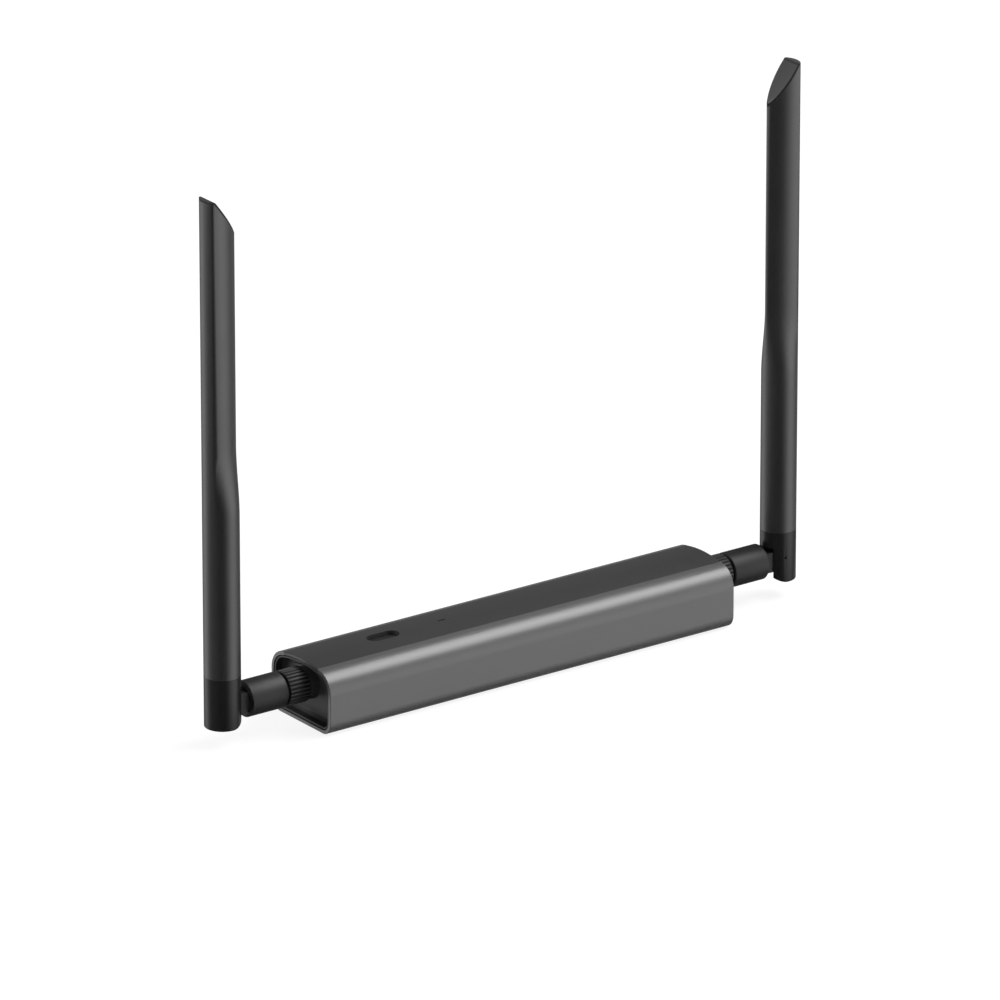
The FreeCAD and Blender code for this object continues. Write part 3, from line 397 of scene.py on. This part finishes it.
class GatewayStudio(bpy.types.PropertyGroup):
    """The camera's place and the lights' strength."""

    azimuth: bpy.props.FloatProperty(
        name="Azimuth", description="Camera's turn from the front towards the left end",
        subtype="ANGLE", default=math.radians(35.988))
    elevation: bpy.props.FloatProperty(
        name="Elevation", description="Camera's angle above the horizon",
        subtype="ANGLE", default=math.radians(20.918))
    distance: bpy.props.FloatProperty(
        name="Distance", description="Distance from the camera to its aim",
        subtype="DISTANCE", unit="LENGTH", default=3.4266)
    aim: bpy.props.FloatVectorProperty(
        name="Aim", description="Point in the middle of the picture",
        subtype="TRANSLATION", unit="LENGTH", size=3, default=(0.0072, 0.0122, 0.04701))
    lens: bpy.props.FloatProperty(
        name="Lens", description="Focal length on a 36 mm frame",
        subtype="DISTANCE_CAMERA", default=422.5)
    key_power: bpy.props.FloatProperty(
        name="Key", description="Power of the main soft light", unit="POWER", default=11.0)
    rim_power: bpy.props.FloatProperty(
        name="Rim", description="Power of the light behind", unit="POWER", default=16.0)
    fill_level: bpy.props.FloatProperty(
        name="Fill", description="Level of the even light around", subtype="FACTOR",
        default=0.35, min=0.0, max=1.0)
    mirror_level: bpy.props.FloatProperty(
        name="Mirrored", description="Level of the sweeps that gloss finishes mirror",
        default=2.1, min=0.0)


def assign(material, *nodes):
    """Gives CAD nodes a material in all their slots."""
    for name in nodes:
        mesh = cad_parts[name].data
        if not mesh.materials:
            mesh.materials.append(material)
        for index in range(len(mesh.materials)):
            mesh.materials[index] = material


# Pieces drawn softer than their solids

# Points this near to one another, or to a plane that cuts, count as one place
SAME_SPOT = 0.002 * MM
SAME_CUT_SPOT = 0.03 * MM
ON_THE_PLANE = 0.0005 * MM
# Between faces, a turn below the first counts as flat, and one above the second as sharp
FLAT_TURN = math.radians(0.2)
SHARP_TURN = math.radians(38)

# Below this height a base's edges belong to its foot, and above the next to its spigot
FOOT_TOP = 10.5 * MM
SHOULDER_TOP = 21.6 * MM
# Above this height a whip's edges belong to its tip
TIP_BOTTOM = 150 * MM


def add_piece(name, shape, material, body, replaced):
    """Makes a bmesh an object that rides on a body and stands in for a CAD node."""
    mesh = bpy.data.meshes.new(name)
    shape.to_mesh(mesh)
    shape.free()
    mesh.polygons.foreach_set("use_smooth", [True] * len(mesh.polygons))
    mesh.set_sharp_from_angle(angle=SHARP_TURN)
    mesh.materials.append(material)
    piece = bpy.data.objects.new(name, mesh)
    bpy.context.scene.collection.objects.link(piece)
    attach(piece, body)
    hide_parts(replaced)


def whole_copy(node):
    """A bmesh copy of a CAD node, with its loose triangles joined up."""
    shape = bmesh.new()
    shape.from_mesh(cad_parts[node].data)
    bmesh.ops.remove_doubles(shape, verts=shape.verts, dist=SAME_SPOT)
    bmesh.ops.dissolve_limit(
        shape, angle_limit=FLAT_TURN, verts=shape.verts, edges=shape.edges)
    return shape


def soften(shape, width, segments=3, turn=25, low=-math.inf, high=math.inf):
    """Rounds the edges that turn by more degrees and lie between two heights."""
    edges = [
        edge for edge in shape.edges
        if edge.is_manifold and edge.calc_face_angle(0.0) > math.radians(turn)
        and all(low < vert.co.z < high for vert in edge.verts)
    ]
    bmesh.ops.bevel(
        shape, geom=edges, offset=width, offset_type="OFFSET", segments=segments,
        profile=0.5, affect="EDGES", clamp_overlap=True, material=-1)


def cut_and_close(shape, spot, outwards):
    """Cuts away what lies beyond a plane and closes the cut. Returns the new faces."""
    bmesh.ops.bisect_plane(
        shape, geom=shape.verts[:] + shape.edges[:] + shape.faces[:], dist=ON_THE_PLANE,
        plane_co=spot, plane_no=outwards, clear_outer=True)
    rim = [edge for edge in shape.edges if edge.is_boundary]
    return bmesh.ops.holes_fill(shape, edges=rim)["faces"]


def round_foot(shape, pin, inwards):
    """Gives a base a full flat foot that is rounded about the pin towards the elbow."""
    chamfer = 1.2 * MM
    foot_height = 3.2 * MM
    cuts = 8
    turn_per_cut = 7.5
    floor = min(vert.co.z for vert in shape.verts)
    sole = cut_and_close(shape, Vector((0, 0, floor + chamfer)), Vector((0, 0, -1)))
    # Unlike a region's extrusion, this one adds its faces in the same order each run
    sole = bmesh.ops.extrude_discrete_faces(shape, faces=sole)["faces"]
    lowered = [vert for face in sole for vert in face.verts]
    bmesh.ops.translate(shape, verts=lowered, vec=(0, 0, -chamfer))
    for cut in range(cuts):
        turn = math.radians((cut + 0.5) * turn_per_cut)
        outwards = Vector((inwards * math.sin(turn), 0, -math.cos(turn)))
        cut_and_close(shape, pin + outwards * (pin.z - floor), outwards)
    top = floor + foot_height
    foot = [vert for vert in shape.verts if vert.co.z < top]
    bmesh.ops.remove_doubles(shape, verts=foot, dist=SAME_CUT_SPOT)
    foot = [vert for vert in shape.verts if vert.co.z < top]
    within = [edge for edge in shape.edges if all(vert.co.z < top for vert in edge.verts)]
    bmesh.ops.dissolve_limit(shape, angle_limit=FLAT_TURN, verts=foot, edges=within)
    bmesh.ops.recalc_face_normals(shape, faces=shape.faces)


class GATEWAY_OT_housing(bpy.types.Operator):
    """Finishes the shell, the lid and the end caps"""

    bl_idname = "gateway.housing"
    bl_label = "Housing"

    def execute(self, context):
        look = context.scene.gateway_look
        edges = context.scene.gateway_edges
        lid = moulded(
            "lid_satin", look.lid_colour, roughness=0.42, grain=0.25 * MM, depth=0.012 * MM)
        cap = moulded(
            "cap_satin", look.cap_colour, roughness=0.45, grain=0.3 * MM, depth=0.012 * MM,
            specular=0.3)
        assign(satin_shell(look), "housing_shell")
        assign(lid, "top_lid")
        for end in INWARDS:
            node = f"end_cap_{end}"
            assign(cap, node)
            shape = whole_copy(node)
            soften(shape, edges.cap)
            add_piece(f"dished_cap_{end}", shape, cap, "housing", node)
        return {"FINISHED"}


class GATEWAY_OT_button(bpy.types.Operator):
    """Finishes the button, its switch, the light pipe and the lamp"""

    bl_idname = "gateway.button"
    bl_label = "Button and Light"

    def execute(self, context):
        look = context.scene.gateway_look
        edges = context.scene.gateway_edges
        satin = moulded(
            "button_satin", look.button_colour, roughness=0.45, grain=0.25 * MM,
            depth=0.012 * MM)
        black = moulded(
            "switch_black", (0.02, 0.02, 0.02), roughness=0.4, grain=0.3 * MM,
            depth=0.01 * MM)
        assign(satin, "button")
        assign(smoked_plastic(), "light_pipe", "status_light")
        assign(black, "tact_switch", "switch_plunger")
        shape = whole_copy("button")
        soften(shape, edges.button, turn=40)
        add_piece("soft_button", shape, satin, "key", "button")
        return {"FINISHED"}


class GATEWAY_OT_antennas(bpy.types.Operator):
    """Finishes the nuts, elbows, bases and whips of both antennas"""

    bl_idname = "gateway.antennas"
    bl_label = "Antennas"

    def execute(self, context):
        look = context.scene.gateway_look
        edges = context.scene.gateway_edges
        gloss = moulded(
            "base_gloss", look.base_colour, roughness=0.3, grain=0.35 * MM,
            depth=0.008 * MM, specular=0.3)
        satin = moulded(
            "elbow_satin", look.elbow_colour, roughness=0.52, grain=0.35 * MM,
            depth=0.01 * MM, specular=0.35)
        matte = whip_matte(look.whip_colour)
        black = knurled_black(look.nut_colour)
        gold = plated("contact_gold", (0.55, 0.38, 0.14), roughness=0.28)
        steel = plated("pin_steel", (0.55, 0.55, 0.55), roughness=0.3)
        for end, inwards in INWARDS.items():
            assign(satin, f"elbow_{end}")
            assign(gloss, f"whip_base_{end}")
            assign(matte, f"whip_{end}")
            assign(black, f"coupling_nut_{end}", f"antenna_core_{end}")
            assign(gold, f"antenna_jack_{end}", f"radiator_{end}")
            assign(steel, f"hinge_pin_{end}")
            elbow = whole_copy(f"elbow_{end}")
            soften(elbow, edges.elbow)
            add_piece(f"soft_elbow_{end}", elbow, satin, f"arm_{end}",
                      f"elbow_{end}")
            base = whole_copy(f"whip_base_{end}")
            round_foot(base, node_box(f"hinge_pin_{end}")[0], inwards)
            soften(base, edges.foot, high=FOOT_TOP)
            soften(base, edges.base, segments=4, low=FOOT_TOP, high=SHOULDER_TOP)
            add_piece(f"soft_base_{end}", base, gloss, f"mast_{end}",
                      f"whip_base_{end}")
            whip = whole_copy(f"whip_{end}")
            soften(whip, edges.tip, low=TIP_BOTTOM)
            add_piece(f"soft_whip_{end}", whip, matte, f"mast_{end}",
                      f"whip_{end}")
            nut = whole_copy(f"coupling_nut_{end}")
            soften(nut, edges.knurl, segments=2, turn=30)
            add_piece(f"knurled_nut_{end}", nut, black, f"nut_{end}",
                      f"coupling_nut_{end}")
        return {"FINISHED"}


class GATEWAY_OT_inside(bpy.types.Operator):
    """Finishes the circuit board, what stands on it and the ports"""

    bl_idname = "gateway.inside"
    bl_label = "Inside and Ports"

    def execute(self, context):
        tin = plated("can_tin", (0.6, 0.6, 0.58), roughness=0.32)
        gold = plated("spring_gold", (0.6, 0.42, 0.16), roughness=0.25)
        black = moulded(
            "port_black", (0.018, 0.018, 0.018), roughness=0.45, grain=0.3 * MM,
            depth=0.01 * MM)
        assign(solder_mask(), "main_board")
        assign(tin, "processor_shield", "radio_module_left", "radio_module_right", "usb_shell")
        assign(black, "ethernet_jack", "usb_tongue")
        assign(gold, "ethernet_contacts")
        return {"FINISHED"}


# The studio

FLOOR_REACH = 6.0
FLOOR_GAP = 0.01 * MM
# The camera sees this share of the floor lit and shadowed by the lamps, and the rest plain
# white, a little brighter than 1 to make up for the lit share
SHADOW_SHARE = 0.2
FLOOR_BRIGHTNESS = 1.09
# The camera's frame, in millimetres
SENSOR_WIDTH = 36.0

# Where each lamp is seen from the object, how far it is, and its two sides in metres
LAMPS = {
    "key": {"direction": (0.53, -0.24, 0.81), "distance": 0.95, "size": (0.85, 0.45)},
    "rim": {"direction": (-0.85, 0.33, 0.42), "distance": 2.0, "size": (0.7, 0.5)},
}

# What a gloss finish mirrors: each sweep's middle, and its brightness from the side
# opposite to that middle, at 0, to the middle itself, at 1
PALE_SWEEP = (0.627, -0.774, -0.087), (
    (0.0, 0.36), (0.05, 0.28), (0.08, 0.2), (0.12, 0.12), (0.25, 0.08), (0.36, 0.1),
    (0.44, 0.03), (0.84, 0.03), (0.93, 0.4), (0.98, 0.85), (1.0, 1.0))
BACK_SWEEP = (-0.467, 0.808, -0.36), (
    (0.0, 0.0), (0.9, 0.0), (0.965, 0.1), (1.0, 0.5))
FAR_SWEEP = (0.8, 0.4, -0.447), (
    (0.0, 0.0), (0.93, 0.0), (0.975, 0.12), (1.0, 0.17))


def straight_along(direction):
    """A turn that points an object's -Z along the direction, with its Y as near up as it goes."""
    return direction.to_track_quat("-Z", "Y")


def seen_straight(paint):
    """1 where the camera looks, straight or through something clear."""
    seen = paint.node("LightPath", output="Is Camera Ray")
    through = paint.node("LightPath", output="Is Transmission Ray")
    return paint.node("Math", {"operation": "MAXIMUM"}, {0: seen, 1: through})


def facing(paint, direction, centre):
    """From 0 for a direction opposite to the centre to 1 towards it."""
    settings = {"operation": "DOT_PRODUCT"}
    return paint.node("VectorMath", settings, {0: direction, 1: centre}, "Value") * 0.5 + 0.5


def sweep(paint, direction, centre, stops):
    """One sweep of the studio, as it brightens towards its middle."""
    return paint.node("ValToRGB", {"stops": stops}, {0: facing(paint, direction, centre)})


def floor_paint(name):
    """White to the camera apart from the object's shadow, plain and pale to the lamps."""
    pale = (0.8, 0.8, 0.8, 1)
    material, paint = new_paint(name)
    plain = paint.node("BsdfDiffuse", inputs={"Color": pale})
    white = paint.node("Emission", inputs={"Color": WHITE, "Strength": FLOOR_BRIGHTNESS})
    shaded = paint.node("MixShader", inputs={0: SHADOW_SHARE, 1: white, 2: plain})
    mixed = paint.node("MixShader", inputs={0: seen_straight(paint), 1: plain, 2: shaded})
    paint.node("OutputMaterial", inputs={"Surface": mixed})
    return material


class GATEWAY_OT_stage(bpy.types.Operator):
    """Adds the floor, the white surroundings, the lamps and the camera"""

    bl_idname = "gateway.stage"
    bl_label = "Studio"

    def execute(self, context):
        studio = context.scene.gateway_studio
        self.add_floor(context)
        self.light_world(context, studio)
        self.add_lamp(context, "key", studio.key_power, **LAMPS["key"])
        self.add_lamp(context, "rim", studio.rim_power, **LAMPS["rim"])
        self.add_camera(context, studio)
        context.scene.view_settings.view_transform = "Standard"
        return {"FINISHED"}

    def add_floor(self, context):
        """Adds a wide floor just below the housing, which gloss finishes don't mirror."""
        mesh = bpy.data.meshes.new("floor")
        shape = bmesh.new()
        bmesh.ops.create_grid(shape, x_segments=1, y_segments=1, size=FLOOR_REACH)
        bmesh.ops.translate(shape, verts=shape.verts, vec=(0, 0, CAD_BOX[0][2] - FLOOR_GAP))
        shape.to_mesh(mesh)
        shape.free()
        mesh.materials.append(floor_paint("floor_white"))
        floor = bpy.data.objects.new("floor", mesh)
        context.scene.collection.objects.link(floor)
        floor.visible_glossy = False

    def light_world(self, context, studio):
        """Gives the camera white, gloss finishes the sweeps and the rest an even light."""
        world = bpy.data.worlds.new("surroundings")
        world.use_nodes = True
        context.scene.world = world
        paint = Paint(world.node_tree)
        direction = paint.node("TexCoord", output="Generated")
        sweeps = sweep(paint, direction, *PALE_SWEEP)
        sweeps = sweeps + sweep(paint, direction, *BACK_SWEEP)
        sweeps = sweeps + sweep(paint, direction, *FAR_SWEEP)
        fill = paint.node("Background", inputs={
            "Color": WHITE, "Strength": studio.fill_level})
        tone = paint.node("Background", inputs={
            "Color": sweeps, "Strength": studio.mirror_level})
        white = paint.node("Background", inputs={"Color": WHITE, "Strength": 1.0})
        mirrored = paint.node("LightPath", output="Is Glossy Ray")
        other = paint.node("MixShader", inputs={0: mirrored, 1: fill, 2: tone})
        mixed = paint.node("MixShader", inputs={0: seen_straight(paint), 1: other, 2: white})
        paint.node("OutputWorld", inputs={"Surface": mixed})

    def add_lamp(self, context, name, power, direction, distance, size):
        """Adds a soft light that faces the origin."""
        lamp = bpy.data.lights.new(name, "AREA")
        lamp.shape = "RECTANGLE"
        lamp.size, lamp.size_y = size
        lamp.energy = power
        holder = bpy.data.objects.new(name, lamp)
        context.scene.collection.objects.link(holder)
        holder.location = Vector(direction).normalized() * distance
        holder.rotation_euler = straight_along(-Vector(direction)).to_euler()
        holder.visible_camera = False

    def add_camera(self, context, studio):
        """Adds the camera at its angles and distance from the aim."""
        camera = bpy.data.cameras.new("camera")
        camera.sensor_width = SENSOR_WIDTH
        camera.lens = studio.lens
        holder = bpy.data.objects.new("camera", camera)
        context.scene.collection.objects.link(holder)
        across = math.cos(studio.elevation)
        ahead = Vector((
            math.sin(studio.azimuth) * across,
            math.cos(studio.azimuth) * across,
            -math.sin(studio.elevation),
        ))
        holder.location = Vector(studio.aim) - ahead * studio.distance
        holder.rotation_euler = straight_along(ahead).to_euler()
        context.scene.camera = holder


STEPS = (
    GATEWAY_OT_housing,
    GATEWAY_OT_button,
    GATEWAY_OT_antennas,
    GATEWAY_OT_inside,
    GATEWAY_OT_stage,
)


class GATEWAY_PT_panel(bpy.types.Panel):
    """Lists the gateway's finishes, roundings, studio and steps"""

    bl_idname = "GATEWAY_PT_panel"
    bl_label = "Gateway"
    bl_space_type = "VIEW_3D"
    bl_region_type = "UI"
    bl_category = "Gateway"

    def draw(self, context):
        scene = context.scene
        for group in (scene.gateway_look, scene.gateway_edges, scene.gateway_studio):
            box = self.layout.box()
            for name in group.__annotations__:
                box.prop(group, name)
        for step in STEPS:
            self.layout.operator(step.bl_idname)


CLASSES = (GatewayLook, GatewayEdges, GatewayStudio, *STEPS, GATEWAY_PT_panel)


def register():
    for item in CLASSES:
        bpy.utils.register_class(item)
    bpy.types.Scene.gateway_look = bpy.props.PointerProperty(type=GatewayLook)
    bpy.types.Scene.gateway_edges = bpy.props.PointerProperty(type=GatewayEdges)
    bpy.types.Scene.gateway_studio = bpy.props.PointerProperty(type=GatewayStudio)


def unregister():
    del bpy.types.Scene.gateway_studio
    del bpy.types.Scene.gateway_edges
    del bpy.types.Scene.gateway_look
    for item in reversed(CLASSES):
        bpy.utils.unregister_class(item)


def main():
    """Builds everything, step by step."""
    register()
    bpy.ops.gateway.housing()
    bpy.ops.gateway.button()
    bpy.ops.gateway.antennas()
    bpy.ops.gateway.inside()
    bpy.ops.gateway.stage()


if __name__ == "__main__":
    main()
